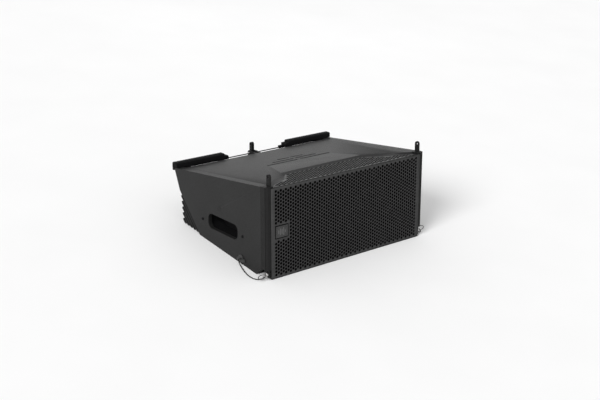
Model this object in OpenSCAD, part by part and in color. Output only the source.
// Line array element: a trapezoid cabinet with two ten inch woofers, a central
// waveguide, an amplifier on the rear wall and three point rigging.
// The cabinet is drawn with its front face upright, then tipped back as one
// piece so that its bottom panel lies flat at z = 0.

/* [Cabinet] */
// width over the side panels
cab_w = 711; // [709:1:713]
// height of the front face
cab_h = 315; // [314:0.5:317]
// depth of the side panels
cab_d = 523; // [523:1:526]
// thickness of the wooden panels
wall = 15; // [14:0.5:15]
// fall of the top panel towards the rear, in degrees
top_fall = 5; // [4.9:0.05:5.1]
// rise of the bottom panel towards the rear, in degrees
bottom_rise = 9; // [8.9:0.05:9.1]

/* [Rigging] */
// thickness of the front link plates
link_t = 7; // [6:0.5:7]
// width of the front link plates
link_w = 17.5; // [17:0.5:18]
// height of the raised links above the front top edge
link_rise = 39; // [36:1:40]
// radius of the quick release pins
pin_r = 3.95; // [3.90:0.01:3.96]
// radius of the pin holes
pin_hole_r = 4; // [4:0.01:4.02]
// mean radius of the pull rings
ring_r = 12; // [11:0.5:12]

/* [Drivers] */
// distance of each woofer from the middle of the cabinet
woofer_x = 192; // [190:0.5:193]
// radius of the woofer frame
woofer_r = 130; // [128:0.5:131]
// radius of the moving cone
cone_r = 104; // [102:0.5:104]

/* [Amplifier] */
// number of cooling fins on each side
fin_count = 5; // [4:1:5]
// thickness of one cooling fin
fin_t = 3; // [2.5:0.5:4]
// distance from one cooling fin to the next
fin_pitch = 12; // [11.5:0.5:12]

/* [Hidden] */
$fn = 48;
half_w = cab_w / 2;
edge_w = 30;                      // width of the rigging edge at each side
in_w = half_w - edge_w - 1;       // half width of the inset panels
lap_w = half_w - 18.5;            // half width of the grille's front sheet
post_d = 30;                      // depth of the front posts
post_low = 35;                    // bottom end of the full post
lug_low = 6;
link_x = half_w - 21;             // middle of the link plate
link_y = 13.5;
link_len = 200;
pin_y = link_y;
pin_z = 18;
head_x = half_w - 12;             // inner face of a pin head
eye_x = half_w - 1;               // eye of the pull ring
ring_wire = 1.2;
ring_drop = [20, -28];            // droop of the left and right pull rings
screw_x = half_w - 27.5;          // screws along the grille's side borders
screw_z = [44, 122, 200, 278];
window = [-320.5, 135.5, 55, 45]; // opening for the badge: x, z, width, height
recess = 7;                       // depth of the recess in the top panel
baffle_y = 26;
mid_z = cab_h / 2;
rear_y = 491;                     // rear edge of the top panel
kink = [493, 194.5];              // rear edge of the side panel, lower end
cut_y = 376;                      // where the sloping cut meets the bottom
cut_z = cut_y * tan(bottom_rise);
cut_angle = atan2(kink[1] - cut_z, kink[0] - cut_y);
cut_len = norm([kink[0] - cut_y, kink[1] - cut_z]);
io_y = 470;
io_w = 110;
grip = [239, 126];                // middle of the side handle opening
grip_len = 167;
grip_h = 53;
grip_r = 20;
grip_tilt = 2;
grip_screws = [[129, 119], [355, 124]];
anchor = [138, 41];               // lanyard fitting on the side panel
bar_in = 118;
arm_y = 541;
arm_z = 262;
arm_top = 302;
// middle of the depth on the floor, between the grille's foot and the arm
base_y = (arm_y * cos(bottom_rise) + (arm_top - 7) * sin(bottom_rise) + 7) / 2;
cord_r = 1.6;
// path of the left lanyard, on the floor frame, from its anchor to its pin
cord_path = [
  [-360.6, -151, 18.9], [-363.8, -151.1, 18.6], [-366.6, -152.2, 16],
  [-367.8, -155, 11.5], [-368.4, -160, 7], [-369.3, -166, 4.2],
  [-371, -173, 2.6], [-374, -181, 2], [-377.5, -192, 2], [-381.5, -205, 2],
  [-384.5, -218, 2], [-386.5, -229, 2], [-387, -240, 2], [-386.5, -250, 2],
  [-384.5, -259, 2], [-380, -267, 2.3], [-372.5, -273.5, 3],
  [-364.5, -277.2, 4.4], [-359.4, -278.6, 5.8], [-357, -278.8, 8],
  [-356.3, -278.5, 10.6]
];

function top_z(y) = cab_h - y * tan(top_fall);
function low_z(y) = y * tan(bottom_rise);
function turned(p, a) = [p[0] * cos(a) - p[1] * sin(a), p[0] * sin(a) + p[1] * cos(a)];

// tips the upright cabinet back onto its bottom panel
module place() {
  translate([0, -base_y, 0]) rotate([-bottom_rise, 0, 0]) children();
}

// side = -1 for the left, 1 for the right
module mirrored(side) {
  if (side < 0) mirror([1, 0, 0]) children();
  else children();
}

// a profile in depth and height, extruded across the width
module across(x0, x1) {
  translate([x0, 0, 0]) rotate([90, 0, 90]) linear_extrude(x1 - x0) children();
}

// the frame of the sloping rear wall: y runs up it, z points inwards
module on_cut() {
  translate([0, cut_y, cut_z]) rotate([cut_angle, 0, 0]) children();
}

module along_y(y0, length, r1, r2 = -1) {
  translate([0, y0, 0]) rotate([-90, 0, 0])
    cylinder(h = length, r1 = r1, r2 = r2 < 0 ? r1 : r2);
}

module along_x(x0, length, r) {
  translate([x0, 0, 0]) rotate([0, 90, 0]) cylinder(h = length, r = r);
}

module grip_shape(grow) {
  translate(grip) rotate(grip_tilt) {
    square([grip_len - 2 * grip_r, grip_h + 2 * grow], center = true);
    square([grip_len + 2 * grow, grip_h - 2 * grip_r], center = true);
    for (a = [-1, 1]) for (b = [-1, 1])
      translate([a * (grip_len / 2 - grip_r), b * (grip_h / 2 - grip_r)])
        circle(r = grip_r + grow);
  }
}

module side_panel(side) {
  color([0.2, 0.2, 0.21]) place() mirrored(side) difference() {
    across(half_w - wall, half_w) difference() {
      polygon([
        [post_d + 0.8, top_z(post_d + 0.8)], [cab_d, top_z(cab_d)],
        kink, [cut_y, cut_z], [56, low_z(56)], [46, 20], [38, 31],
        [post_d + 0.8, post_low]
      ]);
      grip_shape(0);
    }
    for (p = concat([anchor], grip_screws)) translate([0, p[0], p[1]])
      along_x(half_w - wall - 1, wall + 2, 2.6);
  }
  color([0.2, 0.2, 0.21]) place() mirrored(side)
    across(half_w - edge_w, half_w - wall) {
      polygon([
        [post_d + 0.8, top_z(post_d + 0.8)], [cab_d, top_z(cab_d)],
        [cab_d - 7, top_z(cab_d) - 18], [post_d + 0.8, top_z(post_d) - 18]
      ]);
      polygon([
        [56, low_z(56)], [cut_y, cut_z], [cut_y + 13, cut_z + 15], [56, low_z(56) + 15]
      ]);
    }
}

// one stretch of the recess in the top panel, with sloping walls
module recess_part(low, high) {
  hull() {
    translate([0, 0, -recess]) linear_extrude(0.2) polygon(low);
    linear_extrude(6) polygon(high);
  }
}

module top_panel() {
  e = in_w + 1;
  color([0.22, 0.22, 0.23]) place() difference() {
    across(-in_w, in_w) polygon([
      [9.8, top_z(9.8)], [rear_y, top_z(rear_y)],
      [rear_y, top_z(rear_y) - 18], [9.8, top_z(9.8) - 18]
    ]);
    translate([0, 0, cab_h]) rotate([-top_fall, 0, 0]) {
      recess_part(
        [[-e, -2], [e, -2], [e, 20], [255, 56], [228, 69], [-228, 69], [-255, 56], [-e, 20]],
        [[-e, -2], [e, -2], [e, 28], [274, 69], [-274, 69], [-e, 28]]
      );
      recess_part(
        [[-228, 50], [228, 50], [228, 69], [176, 131], [-176, 131], [-228, 69]],
        [[-274, 50], [274, 50], [274, 69], [182, 143], [-182, 143], [-274, 69]]
      );
    }
  }
}

module bottom_panel() {
  color([0.18, 0.18, 0.18]) place() across(-in_w, in_w) polygon([
    [22, low_z(22)], [366, low_z(366)],
    [358, low_z(358) + wall], [22, low_z(22) + wall]
  ]);
}

module baffle() {
  color([0.15, 0.15, 0.15]) place() difference() {
    translate([-in_w, baffle_y, low_z(baffle_y) + wall + 2.6])
      cube([2 * in_w, wall, top_z(baffle_y + wall) - 18.4
        - low_z(baffle_y) - wall - 2.6]);
    for (s = [-1, 1]) translate([s * woofer_x, 0, mid_z])
      along_y(baffle_y - 1, wall + 2, 117);
    translate([-50, baffle_y - 1, mid_z - 118]) cube([100, wall + 2, 236]);
  }
}

module rear_panel() {
  color([0.17, 0.17, 0.17]) place() across(-in_w, in_w) polygon([
    [rear_y - wall, 197], [rear_y, 197], [rear_y, top_z(rear_y) - 18.2],
    [rear_y - wall, top_z(rear_y - wall) - 18.2]
  ]);
}

module divider(side) {
  color([0.5, 0.4, 0.28]) place() mirrored(side)
    across(60, 70) difference() {
      polygon([
        [baffle_y + wall + 0.4, low_z(baffle_y + wall) + wall + 0.6],
        [290, low_z(290) + wall + 0.6], [290, top_z(290) - 18.6],
        [baffle_y + wall + 0.4, top_z(baffle_y + wall) - 18.6]
      ]);
      for (y = [110, 215]) translate([y, mid_z + 5]) circle(r = 40);
    }
}

module grille() {
  sheet = 2;
  color([0.12, 0.12, 0.12]) place() {
    difference() {
      translate([-lap_w, 0, 0.5]) cube([2 * lap_w, sheet, cab_h - 6.9]);
      translate([window[0], -1, window[1]]) cube([window[2], 4, window[3]]);
      for (s = [-1, 1]) for (z = screw_z) translate([s * screw_x, 0, z]) along_y(-1, 4, 1.5);
    }
    across(-in_w, in_w) polygon([
      [0, 0], [20, low_z(20) + 0.3], [20, low_z(20) + 0.3 + sheet], [0, sheet + 0.5]
    ]);
    for (s = [-1, 1]) across(s * (in_w - 1) - 1, s * (in_w - 1) + 1) polygon([
      [0.5, 1], [18, low_z(18) + 1], [18, cab_h - 22], [0.5, cab_h - 20]
    ]);
    translate([0, 0, cab_h]) rotate([-top_fall, 0, 0]) translate([0, 0, -recess + 0.1])
      linear_extrude(sheet) polygon([
        [-in_w, 0.6], [in_w, 0.6], [in_w, 19.2], [254.6, 55.3], [227.4, 68.2],
        [175.6, 130.2], [-175.6, 130.2], [-227.4, 68.2], [-254.6, 55.3], [-in_w, 19.2]
      ]);
  }
}

module grille_foam() {
  color([0.05, 0.05, 0.05]) place()
    translate([-in_w + 3, 3.8, 4]) cube([2 * in_w - 6, 5.6, cab_h - 13]);
}

// a plate standing in the grille's window, with a flange behind the sheet
module badge() {
  rim = 3.2;
  color([0.25, 0.25, 0.26]) place() difference() {
    union() {
      translate([window[0] + rim, -1.4, window[1] + rim])
        cube([window[2] - 2 * rim, 3.8, window[3] - 2 * rim]);
      translate([window[0] - 1.5, 2.2, window[1] - 4])
        cube([window[2] + 5.5, 1.3, window[3] + 8]);
    }
    translate([window[0] + rim + 2, -1.5, window[1] + rim + 2])
      cube([window[2] - 2 * rim - 4, 0.6, window[3] - 2 * rim - 4]);
  }
}

module grille_screws() {
  color([0.3, 0.3, 0.3]) place() for (s = [-1, 1]) for (z = screw_z)
    translate([s * screw_x, 0, z]) {
      along_y(-1.3, 1.2, 2.3);
      along_y(-0.2, 8, 1.3);
    }
}

module woofer_frame(side) {
  color([0.2, 0.2, 0.2]) place() translate([side * woofer_x, 0, mid_z]) difference() {
    union() {
      along_y(baffle_y - 5.2, 5, woofer_r);
      along_y(baffle_y - 0.3, 70, 116, 62);
      along_y(baffle_y + 69.6, 12, 62);
    }
    along_y(baffle_y - 6, 7, 112);
    along_y(baffle_y + 0.9, 66, 112.5, 59);
    along_y(baffle_y + 60, 18, 58);
    along_y(baffle_y + 70, 30, 40);
    for (a = [0 : 60 : 300]) rotate([0, a, 0])
      translate([-26, baffle_y + 20, 40]) cube([52, 40, 80]);
  }
}

module woofer_magnet(side) {
  color([0.25, 0.25, 0.26]) place() translate([side * woofer_x, 0, mid_z]) difference() {
    along_y(baffle_y + 81.8, 38, 66);
    difference() {
      along_y(baffle_y + 81, 32, 29.8);
      along_y(baffle_y + 80, 34, 24.6);
    }
  }
}

module surround(side) {
  color([0.06, 0.06, 0.06]) place() translate([side * woofer_x, baffle_y - 5.4, mid_z])
    rotate([-90, 0, 0]) rotate_extrude() difference() {
      union() {
        translate([cone_r + 8, 0]) circle(r = 7.4);
        translate([cone_r + 8, -1.4]) square([13, 1.4]);
      }
      translate([cone_r + 8, 0]) circle(r = 6.2);
      translate([cone_r, 0]) square([20, 10]);
    }
}

module spider(side) {
  color([0.7, 0.5, 0.25]) place() translate([side * woofer_x, baffle_y + 74, mid_z])
    rotate([-90, 0, 0]) difference() {
      cylinder(h = 1.4, r = 57.8);
      translate([0, 0, -1]) cylinder(h = 4, r = 28.8);
    }
}

module woofer_cone(side) {
  y0 = baffle_y - 6;
  color([0.1, 0.1, 0.1]) place() translate([side * woofer_x, y0, mid_z])
    rotate([-90, 0, 0]) rotate_extrude() polygon([
      [0, 30], [14, 31.5], [30, 38], [34, 42], [cone_r - 2, 0], [cone_r, 0],
      [cone_r, 2.4], [36, 46], [28.2, 50], [28.2, 92], [26.2, 92], [26.2, 46],
      [14, 35], [0, 33]
    ]);
}

module waveguide() {
  color([0.13, 0.13, 0.14]) place() {
    translate([0, 0, mid_z - 116]) linear_extrude(232) difference() {
      polygon([
        [-57, baffle_y - 6], [57, baffle_y - 6], [57, baffle_y - 0.2],
        [48, baffle_y - 0.2], [48, baffle_y + 20], [22, baffle_y + 110],
        [-22, baffle_y + 110], [-48, baffle_y + 20], [-48, baffle_y - 0.2],
        [-57, baffle_y - 0.2]
      ]);
      polygon([
        [-44, baffle_y - 7], [44, baffle_y - 7],
        [9, baffle_y + 111], [-9, baffle_y + 111]
      ]);
    }
    for (s = [-1, 1]) translate([-22, baffle_y + 104, mid_z + s * 62 - 44])
      difference() {
        cube([44, 8, 88]);
        translate([22, 0, 44]) along_y(-1, 12, 12.5);
      }
    for (z = [mid_z - 116, mid_z + 112]) translate([-46, baffle_y - 6, z])
      cube([92, 22, 4]);
  }
}

module compression_driver(side) {
  color([0.3, 0.3, 0.31]) place() translate([0, baffle_y + 112.2, mid_z + side * 62])
    difference() {
      union() {
        along_y(0, 8, 50);
        along_y(7.9, 34, 44);
        along_y(41.8, 8, 44, 36);
      }
      along_y(-1, 20, 12.5);
      for (a = [45 : 90 : 315]) rotate([0, a, 0]) translate([0, 0, 47])
        along_y(-1, 10, 1.6);
    }
}

module amp_chassis() {
  color([0.16, 0.16, 0.16]) place() on_cut() difference() {
    translate([-in_w, 4, 3]) cube([2 * in_w, cut_len - 10, 6]);
    translate([-90, 40, 2]) cube([180, 70, 8]);
    translate([-io_w - 1, 120, 2]) cube([2 * io_w + 2, 70, 8]);
  }
}

// outline of the cooler in depth and height, drawn in by inset
module cooler_outline(inset) {
  polygon([
    [kink[0] - 0.6 - inset, kink[1] - 2 - inset], [481 - inset, 78 + inset / 2],
    [476 - inset, low_z(476) + 2.5 + inset], [385 + 2 * inset, low_z(385) + 2.5 + inset]
  ]);
}

module heatsink(side) {
  color([0.12, 0.12, 0.12]) place() mirrored(side) {
    on_cut() {
      translate([io_w + 6, 10, -0.6]) cube([in_w - io_w - 8, cut_len - 24, 3.4]);
      translate([io_w + 2, 6, -5]) cube([half_w - io_w - 5, cut_len - 14, 4.6]);
    }
    for (i = [1 : fin_count]) across(io_w + 2, half_w - 3) intersection() {
      cooler_outline(0);
      translate([cut_y, cut_z]) rotate(cut_angle)
        translate([-80, -fin_pitch * i - fin_t / 2]) square([360, fin_t]);
    }
    for (x = [io_w + 4, 230, half_w - 13]) across(x, x + 4) cooler_outline(5);
  }
}

module io_housing() {
  skin = 3;
  color([0.14, 0.14, 0.14]) place() difference() {
    across(-io_w, io_w) polygon([
      [kink[0] - 9, kink[1] - 10], [io_y + 8, kink[1] - 8], [io_y + 8, 80],
      [io_y + 5, low_z(io_y + 5) + 3], [cut_y + 15, low_z(cut_y + 15) + 4]
    ]);
    across(-io_w + skin, io_w - skin) polygon([
      [kink[0] - 14, kink[1] - 13], [io_y + 9, kink[1] - 12], [io_y + 9, 82],
      [io_y + 9, low_z(io_y) + 8], [cut_y + 22, low_z(cut_y + 20) + 8]
    ]);
    on_cut() translate([-90, 40, -40]) cube([180, 70, 44]);
  }
}

io_sockets = [-86, -52, -17, 17, 54, 88];

module io_panel() {
  color([0.17, 0.17, 0.17]) place() difference() {
    translate([-io_w + 3.4, io_y - 1, 87]) cube([2 * io_w - 6.8, 3, 92]);
    for (x = io_sockets) {
      half = x > 50 ? 13.4 : 12.4;
      translate([x - half, io_y - 2, 113 - half]) cube([2 * half, 6, 2 * half]);
    }
    translate([-88, io_y - 2, 146]) cube([56, 6, 24]);
    translate([-6, 0, 158]) along_y(io_y - 2, 6, 4.4);
    for (x = [22, 42]) translate([x, 0, 158]) along_y(io_y - 2, 6, 3.9);
  }
}

module display() {
  color([0.05, 0.08, 0.1]) place() translate([-87.8, io_y - 5, 146.2])
    cube([55.6, 6.4, 23.6]);
}

module encoder_knob() {
  color([0.1, 0.1, 0.1]) place() translate([-6, 0, 158]) difference() {
    union() {
      along_y(io_y - 12, 16, 3.9);
      along_y(io_y + 3, 10, 9, 8.4);
    }
    translate([0, io_y + 12.6, 6]) along_y(0, 3, 0.9);
    for (a = [0 : 30 : 330]) rotate([0, a, 0]) translate([9.1, 0, 0])
      along_y(io_y + 4, 12, 0.8);
  }
}

module button(x) {
  color([0.55, 0.55, 0.55]) place() translate([x, 0, 158]) {
    along_y(io_y - 7, 12, 3.5);
    along_y(io_y - 4.4, 3, 5);
  }
}

module socket_shell(x, r) {
  translate([x, 0, 113]) difference() {
    union() {
      along_y(io_y - 18, 22.4, r - 0.2);
      translate([-r - 1.6, io_y + 2.2, -r - 3.2]) cube([2 * r + 3.2, 2.2, 2 * r + 6.4]);
    }
    children();
  }
}

module signal_sockets() {
  color([0.3, 0.3, 0.3]) place() {
    socket_shell(io_sockets[0], 12.4) {
      along_y(io_y - 12, 20, 9);
    }
    socket_shell(io_sockets[1], 12.4) {
      difference() {
        along_y(io_y - 12, 20, 9.6);
        along_y(io_y - 13, 14, 7.4);
      }
      for (a = [30, 150, 270]) rotate([0, a, 0]) translate([4, 0, 0])
        along_y(io_y - 8, 12, 1.3);
    }
    translate([io_sockets[0], 0, 113]) for (a = [30, 150, 270])
      rotate([0, a, 0]) translate([4, 0, 0]) along_y(io_y - 12.2, 13.2, 1.2);
  }
}

module network_sockets() {
  color([0.28, 0.28, 0.28]) place() for (x = [io_sockets[2], io_sockets[3]])
    socket_shell(x, 12.4) {
      translate([-6, io_y - 12, -4.5]) cube([12, 20, 9]);
    }
}

module mains_sockets() {
  color([0.25, 0.3, 0.4]) place() for (x = [io_sockets[4], io_sockets[5]])
    socket_shell(x, 13.4) {
      difference() {
        along_y(io_y - 14, 22, 11);
        along_y(io_y - 15, 16, 8.2);
      }
    }
}

module amp_board() {
  color([0.1, 0.25, 0.12]) place() on_cut() {
    translate([-150, 12, 21]) cube([300, 120, 1.6]);
    for (x = [-140, 140]) for (y = [20, 124]) translate([x, y, 9.2])
      cylinder(h = 12, r = 3);
  }
}

module transformer() {
  color([0.35, 0.25, 0.15]) place() on_cut() translate([225, 78, 9.2]) difference() {
    cylinder(h = 42, r = 52);
    translate([0, 0, -1]) cylinder(h = 44, r = 14);
  }
}

module capacitors() {
  color([0.1, 0.12, 0.3]) place() on_cut() for (i = [0 : 3])
    translate([-120 + 34 * i, 100, 22.8]) {
      cylinder(h = 38, r = 14);
      translate([0, 0, 38]) cylinder(h = 1, r = 12);
    }
}

module front_post(side) {
  gap = 0.4;
  slot_x = link_t / 2 + gap;
  slot_y = link_w / 2 + gap;
  color([0.15, 0.15, 0.15]) place() mirrored(side) difference() {
    union() {
      translate([0, 0, post_low]) linear_extrude(cab_h - 1 - post_low) polygon([
        [half_w - edge_w, 2.6], [lap_w + 0.9, 2.6], [lap_w + 0.9, 0.5],
        [half_w - 6.5, 0.5], [half_w, 7], [half_w - 1.4, 7], [half_w - 1.4, 8.6],
        [half_w, 8.6], [half_w, post_d + 0.4], [half_w - edge_w, post_d + 0.4]
      ]);
      for (x = [link_x - slot_x - 4.4, link_x + slot_x])
        across(x, x + 4.4) polygon([
          [2.6, lug_low], [20, lug_low + 2], [post_d, 13], [post_d, post_low + 1],
          [2.6, post_low + 1]
        ]);
    }
    translate([link_x - slot_x, link_y - slot_y, 0])
      cube([2 * slot_x, 2 * slot_y, cab_h + 2]);
    translate([0, pin_y, pin_z]) along_x(half_w - 60, 60, pin_hole_r);
    for (z = screw_z) translate([screw_x, 0, z]) along_y(1, 8, 1.5);
  }
}

module link(side) {
  top = cab_h + link_rise - 1;
  color([0.12, 0.12, 0.12]) place() mirrored(side)
    across(link_x - link_t / 2, link_x + link_t / 2) difference() {
      union() {
        translate([link_y - link_w / 2, top - link_len])
          square([link_w, link_len - link_w / 2]);
        translate([link_y, top - link_w / 2]) circle(r = link_w / 2);
      }
      translate([link_y, top - link_w / 2]) circle(r = pin_hole_r + 0.5);
    }
}

// a quick release pin along x with its head at the outer end
module quick_pin(tip, head) {
  difference() {
    union() {
      along_x(tip, head - tip + 1, pin_r);
      along_x(head, 6, 7);
      along_x(head + 5.9, 3, 5);
      translate([head + 8.8, -1.5, -4]) cube([5, 3, 8]);
    }
    translate([head + 11, 0, 0]) along_y(-3, 6, 1.8);
  }
}

module pull_ring(radius, drop) {
  rotate([0, drop, 0]) translate([radius, 0, 0])
    rotate_extrude() translate([radius, 0]) circle(r = ring_wire, $fn = 20);
}

module pin(side) {
  color([0.6, 0.6, 0.6]) place() mirrored(side)
    translate([0, pin_y, pin_z]) quick_pin(half_w - 30.4, head_x);
}

module ring(side) {
  color([0.7, 0.7, 0.7]) place() mirrored(side)
    translate([eye_x, pin_y, pin_z]) pull_ring(ring_r, ring_drop[side < 0 ? 0 : 1]);
}

function lanyard_ring(i, side) = let (
    last = len(cord_path) - 1,
    a = cord_path[max(i - 1, 0)],
    b = cord_path[min(i + 1, last)],
    dir = (b - a) / norm(b - a),
    side_dir = cross(dir, [0, 0, 1]) / norm(cross(dir, [0, 0, 1])),
    up_dir = cross(side_dir, dir)
  ) [for (k = [0 : 7]) let (
      p = cord_path[i] + cord_r * (cos(45 * k) * side_dir + sin(45 * k) * up_dir)
    ) [p[0] * -side, p[1], p[2]]];

module lanyard(side) {
  n = len(cord_path);
  points = [for (i = [0 : n - 1]) each lanyard_ring(i, side)];
  walls = [for (i = [0 : n - 2]) for (k = [0 : 7])
    [8 * i + k, 8 * i + (k + 1) % 8, 8 * (i + 1) + (k + 1) % 8, 8 * (i + 1) + k]];
  first = [for (k = [7 : -1 : 0]) k];
  final = [for (k = [0 : 7]) 8 * (n - 1) + k];
  faces = concat([first, final], walls);
  color([0.1, 0.1, 0.1]) polyhedron(
    points,
    side < 0 ? [for (f = faces) [for (k = [len(f) - 1 : -1 : 0]) f[k]]] : faces
  );
}

module lanyard_anchors() {
  color([0.3, 0.3, 0.3]) place() for (s = [-1, 1]) mirrored(s) {
    across(half_w + 0.1, half_w + 2.6) {
      translate([anchor[0] - 22, anchor[1] - 11]) square([44, 12]);
      translate(anchor) circle(r = 13);
    }
    translate([0, anchor[0], anchor[1]]) {
      along_x(half_w - 11, 12, 2.5);
      along_x(half_w + 2.5, 1.9, 5);
    }
  }
}

module rear_bracket() {
  gap = 6.4;
  color([0.15, 0.15, 0.15]) place() difference() {
    union() {
      translate([-18, rear_y + 0.2, 214]) cube([36, 5, 54]);
      for (x = [-gap - 6, gap]) across(x, x + 6) polygon([
        [rear_y + 3, 226], [arm_y - 2, 248], [arm_y + 9, 254], [arm_y + 9, 266],
        [arm_y + 5, 271], [rear_y + 3, 268]
      ]);
    }
    translate([0, arm_y, arm_z]) along_x(-30, 60, pin_hole_r);
    for (x = [-15, 15]) for (z = [220, 262]) translate([x, 0, z])
      along_y(rear_y - 1, 8, 1.4);
  }
}

module rear_arm() {
  color([0.12, 0.12, 0.12]) place() across(-6, 6) difference() {
    union() {
      translate([arm_y - 7, arm_z]) square([14, arm_top - arm_z - 7]);
      translate([arm_y, arm_z]) circle(r = 7);
      translate([arm_y, arm_top - 7]) circle(r = 7);
    }
    translate([arm_y, arm_z]) circle(r = pin_hole_r);
    translate([arm_y, arm_top - 7.5]) circle(r = pin_hole_r);
  }
}

module rear_pin() {
  color([0.6, 0.6, 0.6]) place() translate([0, arm_y, arm_z]) quick_pin(-15, 13.2);
}

module rear_ring() {
  color([0.7, 0.7, 0.7]) place() translate([24.2, arm_y, arm_z]) pull_ring(8.5, 72);
}

module handle_cup(side) {
  deep = 58;
  skin = 3;
  x1 = half_w - wall - 0.2;
  color([0.1, 0.1, 0.1]) place() mirrored(side) {
    difference() {
      union() {
        across(x1 - deep, x1) grip_shape(9);
        across(x1 - 4, x1) translate(grip) rotate(grip_tilt) square([252, 38], center = true);
        across(x1 - 4, x1) grip_shape(18);
      }
      across(x1 - deep + skin, x1 + 1) grip_shape(9 - skin);
    }
    for (p = grip_screws) translate([0, p[0], p[1]]) {
      along_x(x1 - 1, wall + 1.4, 2.4);
      difference() {
        along_x(half_w + 0.1, 1.8, 5);
        along_x(half_w + 1, 2, 2, $fn = 6);
      }
    }
  }
}

// the stepped inner end leaves room for the amplifier's sockets
module rear_bar(side) {
  color([0.08, 0.08, 0.08]) place() mirrored(side) difference() {
    union() {
      across(bar_in, half_w + 1.5) polygon([
        [506, 272], [506, 286], [510, 290], [529, 290], [533, 286],
        [533, 261], [524.5, 261], [524.5, 272]
      ]);
      for (x = [150, 296]) across(x, x + 18) polygon([
        [rear_y + 0.2, 232], [rear_y + 8, 232], [530, 262], [530, 273],
        [507, 273], [507, 262], [rear_y + 0.2, 252]
      ]);
    }
    translate([bar_in - 1, 500, 281]) cube([33, 40, 12]);
    translate([bar_in - 1, 500, 271.5]) cube([17, 40, 12]);
  }
}

module guard_rod() {
  color([0.1, 0.1, 0.1]) place() translate([0, 528.6, 264])
    along_x(-bar_in - 8, 2 * bar_in + 16, 2.1);
}

side_panel(-1);  // side_panel_left
side_panel(1);  // side_panel_right
top_panel();
bottom_panel();
baffle();
rear_panel();
divider(-1);  // divider_left
divider(1);  // divider_right
grille();
grille_foam();
badge();
grille_screws();
woofer_frame(-1);  // woofer_frame_left
woofer_frame(1);  // woofer_frame_right
woofer_magnet(-1);  // woofer_magnet_left
woofer_magnet(1);  // woofer_magnet_right
surround(-1);  // surround_left
surround(1);  // surround_right
spider(-1);  // spider_left
spider(1);  // spider_right
woofer_cone(-1);  // woofer_cone_left
woofer_cone(1);  // woofer_cone_right
waveguide();
compression_driver(1);  // compression_driver_upper
compression_driver(-1);  // compression_driver_lower
amp_chassis();
heatsink(-1);  // heatsink_left
heatsink(1);  // heatsink_right
io_housing();
io_panel();
display();
encoder_knob();
button(22);  // button_back
button(42);  // button_next
signal_sockets();
network_sockets();
mains_sockets();
amp_board();
transformer();
capacitors();
front_post(-1);  // front_post_left
front_post(1);  // front_post_right
link(-1);  // link_left
link(1);  // link_right
pin(-1);  // pin_left
pin(1);  // pin_right
ring(-1);  // ring_left
ring(1);  // ring_right
lanyard(-1);  // lanyard_left
lanyard(1);  // lanyard_right
lanyard_anchors();
rear_bracket();
rear_arm();
rear_pin();
rear_ring();
handle_cup(-1);  // handle_cup_left
handle_cup(1);  // handle_cup_right
rear_bar(-1);  // rear_bar_left
rear_bar(1);  // rear_bar_right
guard_rod();
